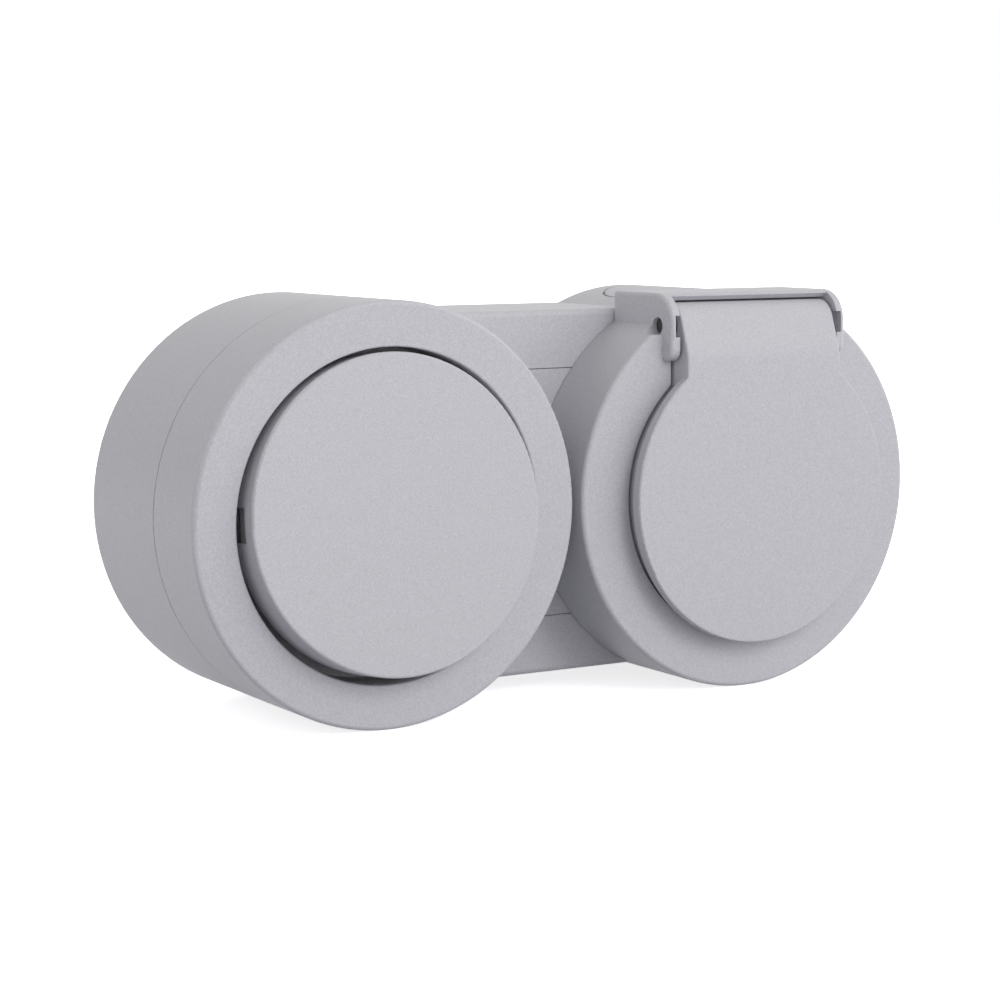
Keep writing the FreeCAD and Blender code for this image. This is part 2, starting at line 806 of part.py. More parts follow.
def switch_terminal_screws():
    """Two clamping screws of the switch terminals."""
    tip = terminal_inner_x + terminal_size / 2 + wire_clamp
    head = terminal_inner_x + terminal_size
    screws = []
    for side in (-1, 1):
        y = terminal_screw_y()
        z = terminal_centre_z()
        shank = cross_rod(screw_radius, (side * tip, side * head), y, z)
        top = head + screw_head_height
        cap = cross_rod(screw_head_radius - 2 * slip_gap, (side * head, side * top), y, z)
        slot_x = (side * (top - screw_recess), side * top)
        slot_z = (z - screw_head_radius, z + screw_head_radius)
        driver_slot = block(slot_x, (y - driver_slot_half, y + driver_slot_half), slot_z)
        screws.append(joined([shank, cap]).cut(driver_slot))
    return Part.makeCompound(screws)


def snap_spring():
    """Leaf with a crest that the lever's nose snaps over."""
    base_y = -cavity_rear - leaf_thickness / 2
    points = [(base_y, -leaf_half_height), (base_y, -leaf_slope), (base_y - leaf_crest, 0),
              (base_y, leaf_slope), (base_y, leaf_half_height)]
    return bent_strip(points, leaf_thickness, (-blade_half_width, blade_half_width))


def frame_screws():
    """Two screws that hold a mounting frame on its posts."""
    length = frame_screw_length + frame_thickness - blind_gap
    return Part.makeCompound([seated_screw(frame_front_y, length, 0, side * post_z) for side in (-1, 1)])


def switch_cover_screws():
    """Two screws that hold the switch cover to the frame, under the rocker."""
    places = [(side * cover_screw_x, side * cover_screw_z) for side in (-1, 1)]
    return Part.makeCompound([seated_screw(well_front_y, cover_screw_length, x, z) for x, z in places])


def hinge_outline():
    """Side view of the hinge block: foot, upright front, round corner and flat top."""
    top = hinge_top
    corner_y = hinge_y + hinge_corner
    corner_z = top - hinge_corner
    foot_y = hinge_y + hinge_foot_rounding
    foot_z = hinge_foot_z + hinge_foot_rounding
    inner_y = ring_y + front_wall
    inner_z = hinge_pin_z - barrel_radius
    rear_y = joint_y - hinge_setback
    return [line((rear_y, inner_z), (rear_y, top)), line((rear_y, top), (corner_y, top)),
            quarter((corner_y, top), (corner_y, corner_z), hinge_corner, 135, (hinge_y, corner_z)),
            line((hinge_y, corner_z), (hinge_y, foot_z)),
            quarter((hinge_y, foot_z), (foot_y, foot_z), hinge_foot_rounding, 225, (foot_y, hinge_foot_z)),
            line((foot_y, hinge_foot_z), (inner_y, hinge_foot_z)),
            line((inner_y, hinge_foot_z), (inner_y, inner_z)), line((inner_y, inner_z), (rear_y, inner_z))]


def hinge_block():
    """Hinge block with its outer front edges rounded."""
    body = side_profile(hinge_outline(), (-hinge_half_width, hinge_half_width))
    def outer_front(edge, middle):
        return abs(abs(middle.x) - hinge_half_width) < tolerance and middle.y < ring_y
    return rounded_where(body, ear_rounding, outer_front)


def hinge_cuts():
    """Space for the lid's barrel and neck, the ear slots and the pin holes."""
    x = (-hinge_inner_x, hinge_inner_x)
    barrel = cross_rod(barrel_radius + barrel_gap, x, hinge_pin_y, hinge_pin_z)
    in_front = block(x, (hinge_y - overcut, hinge_pin_y), (0, hinge_pin_z))
    nose_y = ring_y + roof_front
    root_y = nose_y + roof_undercut
    low_z = hinge_pin_z - bite
    high_z = hinge_top + overcut
    corners = [(hinge_y - overcut, low_z), (root_y, low_z), (root_y, hinge_pin_z + barrel_radius),
               (nose_y, hinge_top - roof_lip), (nose_y, high_z), (hinge_y - overcut, high_z)]
    above = side_profile([line(start, end) for start, end in zip(corners, corners[1:] + corners[:1])], x)
    cuts = [barrel, in_front, above]
    for side in (-1, 1):
        slot_x = (side * (hinge_inner_x - overcut), side * (hinge_half_width - ear_slot_wall))
        slot_z = (hinge_pin_z - ear_slot_half_height, hinge_pin_z + ear_slot_half_height)
        cuts.append(block(slot_x, (hinge_y - overcut, hinge_y + ear_slot_depth), slot_z))
    hole_radius = hinge_pin_radius + running_gap
    for side in (-1, 1):
        beside = (side * hinge_half_width, side * unit_radius)
        in_front_y = (hinge_y - overcut, hinge_pin_y)
        cuts.append(block(beside, in_front_y, (hinge_pin_z - hole_radius, hinge_top)))
    cuts.append(cross_rod(hole_radius, (-unit_radius, unit_radius), hinge_pin_y, hinge_pin_z))
    return cuts


def lid_recess():
    """Round space behind the lid, blended into the straight space for its neck."""
    depth = (ring_y - overcut, shelf_y)
    neck_space = block((-hinge_inner_x, hinge_inner_x), depth, (0, hinge_pin_z))
    space = joined([rod(recess_radius, depth), neck_space])
    def meeting(edge, middle):
        across = abs(abs(middle.x) - hinge_inner_x) < tolerance
        return across and abs(math.hypot(middle.x, middle.z) - recess_radius) < tolerance
    return rounded_where(space, recess_blend, meeting)


def socket_cover():
    """Round cover with the lid recess, the shelf for the socket face and the hinge block."""
    blank = joined([cover_blank(), hinge_block()])
    cavity = rod(box_inner_radius, (joint_y - collar_depth, ring_y + front_wall))
    shell_x = (-hinge_half_width, hinge_half_width)
    barrel_shell = cross_rod(barrel_radius + barrel_gap + pocket_wall, shell_x, hinge_pin_y, hinge_pin_z)
    shelf_rear_y = shelf_y + shelf_thickness
    shelf = rod(recess_radius + shelf_thickness, (ring_y + front_wall / 2, shelf_rear_y))
    neck_x = (-hinge_inner_x - shelf_thickness, hinge_inner_x + shelf_thickness)
    neck_seat = block(neck_x, (ring_y + front_wall / 2, shelf_rear_y), (0, hinge_pin_z))
    neck_seat = neck_seat.common(rod(box_inner_radius, (ring_y, joint_y)))
    cavity = cavity.cut(barrel_shell).cut(shelf).cut(neck_seat)
    cover = blank.cut(cavity)
    cover = cover.cut(rod(spigot_inner_radius, (joint_y + spigot_depth, joint_y - collar_depth)))
    cover = cover.cut(lid_recess())
    for waste in hinge_cuts():
        cover = cover.cut(waste)
    return cover.cut(rod(cup_radius + parting_gap, (ring_y, joint_y)))


def neck_knee_z():
    """Height at which the flat front of the lid starts to lean back."""
    lean = math.radians(neck_slope)
    top_y = hinge_pin_y - barrel_radius * math.cos(lean)
    top_z = hinge_pin_z + barrel_radius * math.sin(lean)
    return top_z - (top_y - lid_y) / math.tan(lean)


def neck_foot_z():
    """Height at which the sides of the neck run into the skirt, clear of the seal."""
    seal_radius = lid_skirt_radius - lid_skirt_wall
    return math.sqrt(seal_radius ** 2 - (neck_half_width - neck_wall) ** 2)


def neck_outline():
    """Side view of the lid's neck: flat front that leans back to meet the barrel."""
    lean = math.radians(neck_slope)
    top_y = hinge_pin_y - barrel_radius * math.cos(lean)
    top_z = hinge_pin_z + barrel_radius * math.sin(lean)
    rear_y = ring_y + neck_reach
    corners = [(lid_y, neck_foot_z()), (lid_y, neck_knee_z()), (top_y, top_z), (hinge_pin_y, hinge_pin_z),
               (rear_y, hinge_pin_z), (rear_y, neck_foot_z())]
    return [line(start, end) for start, end in zip(corners, corners[1:] + corners[:1])]


def neck_pocket():
    """Hollow of the neck, its front wall parallel to the outside."""
    lean = math.radians(neck_slope)
    front_y = lid_y + lid_thickness
    knee_z = neck_knee_z() - lid_thickness * math.tan(lean / 2)
    top_y = front_y + (hinge_pin_z - knee_z) * math.tan(lean)
    low_z = neck_foot_z() - overcut
    corners = [(front_y, low_z), (front_y, knee_z), (top_y, hinge_pin_z),
               (hinge_pin_y, hinge_pin_z), (hinge_pin_y, low_z)]
    edges = [line(start, end) for start, end in zip(corners, corners[1:] + corners[:1])]
    x = (neck_wall - neck_half_width, neck_half_width - neck_wall)
    return side_profile(edges, x).cut(cross_rod(barrel_radius, x, hinge_pin_y, hinge_pin_z))


def lid_outline(edge, middle):
    """Test for the outer front edges of the lid: the disc's arc and both sides of the neck."""
    on_disc = abs(math.hypot(middle.x, middle.z) - lid_radius) < tolerance
    on_neck = abs(abs(middle.x) - neck_half_width) < tolerance
    return abs(middle.y - lid_y) < tolerance and (on_disc or on_neck)


def lid():
    """Lid disc with its skirt and seal lip, the neck, and the barrel round the hinge pin."""
    rear_y = lid_y + lid_thickness
    neck_x = (-neck_half_width, neck_half_width)
    meeting_z = math.sqrt(lid_radius ** 2 - neck_half_width ** 2)
    disc = rod(lid_radius, (lid_y, rear_y)).cut(block(neck_x, (lid_y, rear_y), (meeting_z, lid_radius)))
    neck = side_profile(neck_outline(), neck_x)
    def knee(edge, middle):
        if abs(middle.x) > tolerance:
            return False
        return abs(middle.y - lid_y) < tolerance and abs(middle.z - neck_knee_z()) < tolerance
    neck = rounded_where(neck, neck_blend, knee)
    barrel = cross_rod(barrel_radius, neck_x, hinge_pin_y, hinge_pin_z)
    body = joined([disc, neck, barrel])
    body = rounded_where(body, lid_rounding, lid_outline)
    body = body.cut(neck_pocket())
    skirt_y = (rear_y - bite, ring_y + lid_skirt_reach)
    skirt = tube(lid_skirt_radius, lid_skirt_radius - lid_skirt_wall, skirt_y)
    lip = tube(lid_lip_radius, lid_lip_radius - lid_lip_wall, (rear_y - bite, face_y - seal_stand_off))
    body = joined([body, skirt, lip])
    body = body.cut(cross_rod(hinge_pin_radius + running_gap, neck_x, hinge_pin_y, hinge_pin_z))
    for side in (-1, 1):
        relief_x = (side * (neck_half_width - pin_relief_depth), side * (neck_half_width + overcut))
        body = body.cut(cross_rod(pin_relief_radius, relief_x, hinge_pin_y, hinge_pin_z))
    spring_x = (-spring_pocket, spring_pocket)
    body = body.cut(cross_rod(spring_pocket_radius, spring_x, hinge_pin_y, hinge_pin_z))
    reach = spring_pocket_radius
    behind = block(spring_x, (hinge_pin_y, hinge_pin_y + barrel_radius),
                   (hinge_pin_z - reach, hinge_pin_z + reach))
    below = block(spring_x, (hinge_pin_y - spring_window, hinge_pin_y + reach),
                  (hinge_pin_z - barrel_radius - overcut, hinge_pin_z))
    return body.cut(behind).cut(below)


def lid_seal():
    """Rubber ring in the lid that closes on the socket face."""
    outer = lid_skirt_radius - lid_skirt_wall
    return tube(outer, lid_lip_radius, (lid_y + lid_thickness, face_y - parting_gap))


def hinge_pin():
    """Steel pin through both ears and the lid's barrel."""
    reach = hinge_half_width - hinge_pin_recess
    return cross_rod(hinge_pin_radius, (-reach, reach), hinge_pin_y, hinge_pin_z)


def lid_spring():
    """Torsion spring round the hinge pin, one leg in the lid and one on the cover."""
    inner = spring_radius - spring_wire / 2
    outer = spring_radius + spring_wire / 2
    start = -spring_wire * spring_turns / 2
    points = [Vector(start, inner, 0)]
    for turn in range(spring_turns):
        for share, radius in ((0, spring_radius), (spring_crest, outer), (1 - spring_crest, outer)):
            points.append(Vector(start + (turn + share) * spring_wire, radius, 0))
    points.extend([Vector(-start, spring_radius, 0), Vector(-start, inner, 0), points[0]])
    coil = Part.Face(Part.makePolygon(points)).revolve(origin, Vector(1, 0, 0), 360)
    coil = moved(coil, y=hinge_pin_y, z=hinge_pin_z)
    leg_x = spring_wire / 2 + start
    leg_down = upright_rod(spring_wire / 2, leg_x, hinge_pin_y - spring_radius,
                           (hinge_pin_z - spring_leg, hinge_pin_z))
    wall_y = hinge_pin_y + math.sqrt((barrel_radius + barrel_gap) ** 2 - outer ** 2)
    leg_back = rod(spring_wire / 2, (hinge_pin_y, wall_y - slip_gap), -leg_x, hinge_pin_z + spring_radius)
    return joined([coil, leg_down, leg_back])


def socket_insert():
    """Moulded socket face: flange, round recess, side keys, pin holes and earth slots."""
    body = joined([rod(flange_radius, (face_y, shelf_y)), rod(cup_radius, (face_y, cup_rear_y))])
    body = body.cut(rod(plug_radius, (face_y, plug_floor_y)))
    keys = []
    for side in (-1, 1):
        x = (side * (plug_radius - key_height), side * (plug_radius + cup_wall / 2))
        keys.append(block(x, (face_y + key_setback, plug_floor_y + bite), (-key_half_width, key_half_width)))
    body = joined([body] + keys)
    through = (plug_floor_y - overcut, cup_rear_y + overcut)
    for side in (-1, 1):
        body = body.cut(rod(pin_hole_radius, through, side * pin_spacing / 2))
        slot_x = (-clip_half_width - parting_gap, clip_half_width + parting_gap)
        slot_z = (side * (clip_gap - clip_slot_margin), side * (cup_radius + overcut))
        body = body.cut(block(slot_x, (clip_front_y() - clip_slot_margin, cup_rear_y), slot_z))
    body = body.cut(rod(screw_radius + slip_gap, through))
    head_seat = (plug_floor_y - overcut, plug_floor_y + screw_head_height)
    return body.cut(rod(screw_head_radius + slip_gap, head_seat))


def clip_front_y():
    """Front end of the earth springs."""
    return cup_rear_y - clip_length


def insert_screw():
    """Screw in the middle of the recess floor that clamps the socket face to the base."""
    return seated_screw(plug_floor_y + screw_head_height, insert_screw_length)


def strap_rear_y():
    """Rear face of the earth strap."""
    return cup_rear_y + strip_thickness


def earth_clip():
    """Earth strap behind the socket face, with a bent spring at the top and bottom."""
    x = (-clip_half_width, clip_half_width)
    half = strip_thickness / 2
    leg_z = cup_radius + parting_gap + half
    nose_z = clip_gap + half
    front = clip_front_y() + half
    base_y = cup_rear_y + half
    strap = block(x, (cup_rear_y, strap_rear_y()), (-leg_z, leg_z))
    strap = strap.cut(rod(screw_radius + parting_gap, (cup_rear_y, strap_rear_y())))
    parts = [strap]
    for side in (-1, 1):
        points = [(base_y, side * leg_z), (front + clip_crank, side * leg_z),
                  (front, side * (leg_z - clip_shoulder)), (front + clip_lead, side * nose_z),
                  (front + clip_bend, side * (nose_z + clip_shoulder))]
        parts.append(bent_strip(points, strip_thickness, x))
        parts.append(cross_rod(half, x, base_y, side * leg_z))
    clip = joined(parts)
    z = (-earth_terminal_z - terminal_size / 2, -earth_terminal_z + terminal_size / 2)
    cage_y = (strap_rear_y() - half, strap_rear_y() + terminal_length)
    cage = block((-terminal_size / 2, terminal_size / 2), cage_y, z)
    cage = cage.cut(rod(wire_radius, (strap_rear_y(), cage_y[1]), 0, -earth_terminal_z))
    middle = strap_rear_y() + terminal_length / 2
    cage = cage.cut(cross_rod(screw_radius + running_gap, (0, terminal_size), middle, -earth_terminal_z))
    return joined([clip, cage])


def pin_contact():
    """Brass sleeve that grips one plug pin, with its wire terminal, on the right."""
    x = pin_spacing / 2
    rear = plug_floor_y + plug_pin_length
    front = cup_rear_y + parting_gap
    sleeve = rod(pin_hole_radius + sleeve_wall, (front, rear), x)
    cage_y = (-wire_terminal_y - terminal_length / 2, -wire_terminal_y + terminal_length / 2)
    half = terminal_size / 2
    link = block((x, wire_terminal_x), cage_y, (-strip_thickness, strip_thickness))
    cage = block((wire_terminal_x - half, wire_terminal_x + half), cage_y, (-half, half))
    contact = joined([sleeve, link, cage]).cut(rod(pin_hole_radius, (front, rear), x))
    outer = pin_hole_radius + sleeve_wall + overcut
    slit = block((x - sleeve_slit_half, x + sleeve_slit_half), (front, rear - sleeve_root), (-outer, outer))
    contact = contact.cut(slit).cut(rod(wire_radius, cage_y, wire_terminal_x))
    screw_z = (0, half + overcut)
    return contact.cut(upright_rod(screw_radius + running_gap, wire_terminal_x, -wire_terminal_y, screw_z))


def socket_terminal_screws():
    """Three clamping screws: live, neutral and earth."""
    half = terminal_size / 2
    head_radius = screw_head_radius - 2 * slip_gap
    top = half + screw_head_height
    x = wire_terminal_x
    y = -wire_terminal_y
    shank = upright_rod(screw_radius, x, y, (wire_clamp, half))
    screw = shank.fuse(upright_rod(head_radius, x, y, (half, top)))
    screw = screw.cut(block((x - head_radius, x + head_radius), (y - driver_slot_half, y + driver_slot_half),
                            (top - screw_recess, top)))
    y = strap_rear_y() + terminal_length / 2
    z = -earth_terminal_z
    shank = cross_rod(screw_radius, (wire_clamp, half), y, z)
    earth = shank.fuse(cross_rod(head_radius, (half, top), y, z))
    earth = earth.cut(block((top - screw_recess, top), (y - driver_slot_half, y + driver_slot_half),
                            (z - head_radius, z + head_radius)))
    return Part.makeCompound([screw, mirrored_x(screw), earth])


def socket_base():
    """Moulded base behind the socket face, with chambers for the contacts and terminals."""
    depth = (frame_rear_y, -base_rear)
    flats = block((-base_half_width, base_half_width), depth, (-base_radius, base_radius))
    base = rod(base_radius, depth).common(flats)
    base = base.cut(rod(cup_radius + parting_gap, (frame_rear_y, cup_rear_y)))
    half = clip_half_width + parting_gap
    strap_z = cup_radius + strip_thickness + 2 * parting_gap
    base = base.cut(block((-half, half), (frame_rear_y, strap_rear_y()), (-strap_z, strap_z)))
    for side in (-1, 1):
        base = base.cut(contact_chamber(side))
    cage = terminal_size / 2 + parting_gap
    cage_z = (-earth_terminal_z - cage, -earth_terminal_z + cage)
    base = base.cut(block((-cage, cage), (cup_rear_y, -base_rear), cage_z))
    screw_y = strap_rear_y() + terminal_length / 2
    base = base.cut(cross_rod(screw_head_radius, (0, base_half_width), screw_y, -earth_terminal_z))
    return base.cut(rod(screw_radius + running_gap, (cup_rear_y, cup_rear_y + insert_screw_length)))


def contact_chamber(side):
    """Space for one pin contact, its terminal and the way in for a screwdriver."""
    x = side * pin_spacing / 2
    sleeve_y = (cup_rear_y, plug_floor_y + plug_pin_length + parting_gap)
    sleeve = rod(pin_hole_radius + sleeve_wall + parting_gap, sleeve_y, x)
    half = terminal_size / 2 + parting_gap
    cage_x = (side * (wire_terminal_x - half), side * (wire_terminal_x + half))
    front = -wire_terminal_y - terminal_length / 2 - parting_gap
    rear = -wire_terminal_y + terminal_length / 2 + parting_gap
    cage = block(cage_x, (front, -base_rear), (-half, half))
    thick = strip_thickness + parting_gap
    link = block((x, side * wire_terminal_x), (front, rear), (-thick, thick))
    driver = upright_rod(screw_head_radius, side * wire_terminal_x, -wire_terminal_y, (0, base_radius))
    return joined([sleeve, cage, link, driver])


def socket_frame():
    """Mounting frame of the socket, with its round window and notches for the earth legs."""
    depth = (frame_front_y, frame_rear_y)
    plate = frame_plate().cut(rod(cup_radius + parting_gap, depth))
    half = clip_half_width + parting_gap
    reach = cup_radius + strip_thickness + 2 * parting_gap
    return plate.cut(block((-half, half), depth, (-reach, reach)))


left_nodes = {
    "switch_cover": switch_cover,
    "switch_cover_seal": cover_seal,
    "switch_cover_screws": switch_cover_screws,
    "rocker": rocker,
    "rocker_membrane": rocker_membrane,
    "switch_frame": switch_frame,
    "switch_frame_screws": frame_screws,
    "switch_body": switch_body,
    "contact_lever": contact_lever,
    "lever_pin": lever_pin,
    "moving_contact": moving_contact,
    "fixed_contact": fixed_contact,
    "line_contact": line_contact,
    "switch_terminal_screws": switch_terminal_screws,
    "snap_spring": snap_spring,
}
right_nodes = {
    "socket_cover": socket_cover,
    "socket_cover_seal": cover_seal,
    "lid": lid,
    "lid_seal": lid_seal,
    "hinge_pin": hinge_pin,
    "lid_spring": lid_spring,
    "socket_insert": socket_insert,
    "insert_screw": insert_screw,
    "socket_frame": socket_frame,
    "socket_frame_screws": frame_screws,
    "socket_base": socket_base,
    "earth_clip": earth_clip,
    "live_contact": pin_contact,
    "neutral_contact": lambda: mirrored_x(pin_contact()),
    "socket_terminal_screws": socket_terminal_screws,
}

os.makedirs("parts", exist_ok=True)
back_box().exportStep("parts/back_box.step")
bridge_cover().exportStep("parts/bridge_cover.step")
for name, make in left_nodes.items():
    moved(make(), x=-unit_x).exportStep("parts/" + name + ".step")
for name, make in right_nodes.items():
    moved(make(), x=unit_x).exportStep("parts/" + name + ".step")
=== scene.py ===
import json
import math

import bmesh
import bpy
from mathutils import Matrix, Vector


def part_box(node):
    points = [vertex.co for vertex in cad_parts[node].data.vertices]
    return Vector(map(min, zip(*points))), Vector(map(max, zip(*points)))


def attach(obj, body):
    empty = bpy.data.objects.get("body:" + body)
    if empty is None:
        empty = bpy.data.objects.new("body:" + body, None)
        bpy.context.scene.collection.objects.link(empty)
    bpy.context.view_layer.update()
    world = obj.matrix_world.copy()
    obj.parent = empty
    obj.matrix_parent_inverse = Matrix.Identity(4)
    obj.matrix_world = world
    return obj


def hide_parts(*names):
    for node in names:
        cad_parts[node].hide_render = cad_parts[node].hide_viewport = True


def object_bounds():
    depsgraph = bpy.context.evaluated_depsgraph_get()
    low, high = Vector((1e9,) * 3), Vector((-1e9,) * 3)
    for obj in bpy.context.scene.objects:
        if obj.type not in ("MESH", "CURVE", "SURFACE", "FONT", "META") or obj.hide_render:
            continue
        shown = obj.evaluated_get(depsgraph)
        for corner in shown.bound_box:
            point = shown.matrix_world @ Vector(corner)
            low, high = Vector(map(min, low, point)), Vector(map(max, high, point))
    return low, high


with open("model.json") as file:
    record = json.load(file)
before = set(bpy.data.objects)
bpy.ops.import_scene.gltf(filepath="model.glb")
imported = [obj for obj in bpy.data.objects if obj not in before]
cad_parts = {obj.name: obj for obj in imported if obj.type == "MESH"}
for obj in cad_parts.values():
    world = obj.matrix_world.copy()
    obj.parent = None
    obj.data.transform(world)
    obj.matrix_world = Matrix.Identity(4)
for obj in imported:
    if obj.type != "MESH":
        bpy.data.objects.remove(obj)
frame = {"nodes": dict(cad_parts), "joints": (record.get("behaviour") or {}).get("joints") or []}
nodes = frame["nodes"]
cad_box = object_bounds()


# Camera
# It stands in front of the switch end, a little above the row of two rounds, and looks along it
# at about 31 degrees, as in the photograph.
camera_place = Vector((-0.25922, -0.44378, 0.05840))
camera_target = Vector((-0.011613, -0.036000, 0.000302))
camera = bpy.data.objects.new("camera", bpy.data.cameras.new("camera"))
bpy.context.scene.collection.objects.link(camera)
camera.location = camera_place
camera.rotation_euler = (camera_target - camera_place).to_track_quat("-Z", "Y").to_euler()
camera.data.sensor_width = 36.0
camera.data.lens = 89.18
camera.data.clip_start = 0.01
camera.data.clip_end = 50.0
bpy.context.scene.camera = camera


# Floor and light
# A plain floor that shows white and a soft sky, brighter from the right, with a soft lamp above the
# front and a weak one behind the left end.
floor_half = 6.0
floor_grey = (0.33, 0.335, 0.37, 1.0)
floor_glow = 0.165
background_glow = 0.72
shadow_reach = 0.55


def shown_directly(tree):
    path = tree.nodes.new("ShaderNodeLightPath")
    mirrored = tree.nodes.new("ShaderNodeMath")
    mirrored.operation = "MAXIMUM"
    tree.links.new(path.outputs["Is Camera Ray"], mirrored.inputs[0])
    tree.links.new(path.outputs["Is Glossy Ray"], mirrored.inputs[1])
    through = tree.nodes.new("ShaderNodeMath")
    through.operation = "MAXIMUM"
    tree.links.new(mirrored.outputs[0], through.inputs[0])
    tree.links.new(path.outputs["Is Transmission Ray"], through.inputs[1])
    return through.outputs[0]


def floor_finish():
    material = bpy.data.materials.new("floor")
    material.use_nodes = True
    tree = material.node_tree
    shader = tree.nodes["Principled BSDF"]
    shader.inputs["Roughness"].default_value = 0.9
    shader.inputs["Specular IOR Level"].default_value = 0.0
    shown = shown_directly(tree)
    colour = tree.nodes.new("ShaderNodeMix")
    colour.data_type = "RGBA"
    colour.inputs["A"].default_value = floor_grey
    colour.inputs["B"].default_value = (1.0, 1.0, 1.0, 1.0)
    tree.links.new(shown, colour.inputs["Factor"])
    tree.links.new(colour.outputs["Result"], shader.inputs["Base Color"])
    tree.links.new(colour.outputs["Result"], shader.inputs["Emission Color"])
    near = tree.nodes.new("ShaderNodeMapRange")
    near.inputs["To Min"].default_value = floor_glow
    near.inputs["To Max"].default_value = background_glow
    tree.links.new(shown, near.inputs["Value"])
    place = tree.nodes.new("ShaderNodeTexCoord")
    distance = tree.nodes.new("ShaderNodeVectorMath")
    distance.operation = "LENGTH"
    tree.links.new(place.outputs["Object"], distance.inputs[0])
    glow = tree.nodes.new("ShaderNodeMapRange")
    glow.interpolation_type = "SMOOTHSTEP"
    glow.inputs["From Min"].default_value = shadow_reach / 3
    glow.inputs["From Max"].default_value = shadow_reach
    glow.inputs["To Max"].default_value = 1.0
    tree.links.new(distance.outputs["Value"], glow.inputs["Value"])
    tree.links.new(near.outputs["Result"], glow.inputs["To Min"])
    tree.links.new(glow.outputs["Result"], shader.inputs["Emission Strength"])
    return material


floor_mesh = bmesh.new()
bmesh.ops.create_grid(floor_mesh, x_segments=1, y_segments=1, size=floor_half)
bmesh.ops.translate(floor_mesh, verts=floor_mesh.verts, vec=(0.0, 0.0, cad_box[0].z))
floor_data = bpy.data.meshes.new("floor")
floor_mesh.to_mesh(floor_data)
floor_mesh.free()
floor = bpy.data.objects.new("floor", floor_data)
bpy.context.scene.collection.objects.link(floor)
floor_data.materials.append(floor_finish())


def sky(left, right, overhead):
    world = bpy.data.worlds.new("sky")
    bpy.context.scene.world = world
    world.use_nodes = True
    tree = world.node_tree
    background = tree.nodes["Background"]
    background.inputs["Color"].default_value = (1.0, 1.0, 1.0, 1.0)
    place = tree.nodes.new("ShaderNodeTexCoord")
    direction = tree.nodes.new("ShaderNodeSeparateXYZ")
    tree.links.new(place.outputs["Generated"], direction.inputs[0])
    across = tree.nodes.new("ShaderNodeMapRange")
    across.inputs["From Min"].default_value = -1.0
    across.inputs["To Min"].default_value = left
    across.inputs["To Max"].default_value = right
    tree.links.new(direction.outputs["X"], across.inputs["Value"])
    upward = tree.nodes.new("ShaderNodeMapRange")
    upward.interpolation_type = "SMOOTHSTEP"
    upward.inputs["From Min"].default_value = 0.2
    upward.inputs["To Min"].default_value = 1.0
    upward.inputs["To Max"].default_value = overhead
    tree.links.new(direction.outputs["Z"], upward.inputs["Value"])
    shade = tree.nodes.new("ShaderNodeMath")
    shade.operation = "MULTIPLY"
    tree.links.new(across.outputs["Result"], shade.inputs[0])
    tree.links.new(upward.outputs["Result"], shade.inputs[1])
    seen = tree.nodes.new("ShaderNodeMix")
    seen.inputs["B"].default_value = 1.0
    tree.links.new(shown_directly(tree), seen.inputs["Factor"])
    tree.links.new(shade.outputs[0], seen.inputs["A"])
    tree.links.new(seen.outputs["Result"], background.inputs["Strength"])


def soft_lamp(name, place, width, power):
    data = bpy.data.lights.new(name, "AREA")
    data.shape = "DISK"
    data.size = width
    data.energy = power
    lamp = bpy.data.objects.new(name, data)
    bpy.context.scene.collection.objects.link(lamp)
    lamp.location = place
    lamp.rotation_euler = (lit_middle - Vector(place)).to_track_quat("-Z", "Y").to_euler()


sky(0.5, 2.3, 0.16)
lit_middle = Vector((0.0, -0.03, 0.0))
soft_lamp("key_lamp", (0.15, -0.95, 0.60), 0.5, 2.35)
soft_lamp("back_lamp", (-0.82, 0.45, 0.55), 0.5, 0.75)


# Grey mouldings
# The box, its bridge, the rocker, the lid and the socket face are one light grey plastic, moulded
# in spark-eroded tools, so the surface is matt with a fine even grain.
def moulded_grey(name):
    material = bpy.data.materials.new(name)
    material.use_nodes = True
    tree = material.node_tree
    shader = tree.nodes["Principled BSDF"]
    place = tree.nodes.new("ShaderNodeTexCoord")
    grain = tree.nodes.new("ShaderNodeTexNoise")
    grain.inputs["Scale"].default_value = 3600.0
    grain.inputs["Detail"].default_value = 1.5
    tree.links.new(place.outputs["Object"], grain.inputs["Vector"])
    speckle = tree.nodes.new("ShaderNodeMapRange")
    speckle.inputs["From Min"].default_value = 0.32
    speckle.inputs["From Max"].default_value = 0.68
    tree.links.new(grain.outputs["Fac"], speckle.inputs["Value"])
    tone = tree.nodes.new("ShaderNodeMix")
    tone.data_type = "RGBA"
    tone.inputs["A"].default_value = (0.505, 0.500, 0.529, 1.0)
    tone.inputs["B"].default_value = (0.600, 0.594, 0.627, 1.0)
    tree.links.new(speckle.outputs["Result"], tone.inputs["Factor"])
    tree.links.new(tone.outputs["Result"], shader.inputs["Base Color"])
    shader.inputs["Roughness"].default_value = 0.5
    bump = tree.nodes.new("ShaderNodeBump")
    bump.inputs["Strength"].default_value = 0.5
    bump.inputs["Distance"].default_value = 0.00006
    tree.links.new(grain.outputs["Fac"], bump.inputs["Height"])
    tree.links.new(bump.outputs["Normal"], shader.inputs["Normal"])
    return material


grey = moulded_grey("moulded_grey")
for name in ("back_box", "bridge_cover", "rocker", "lid", "socket_insert"):
    nodes[name].data.materials[0] = grey


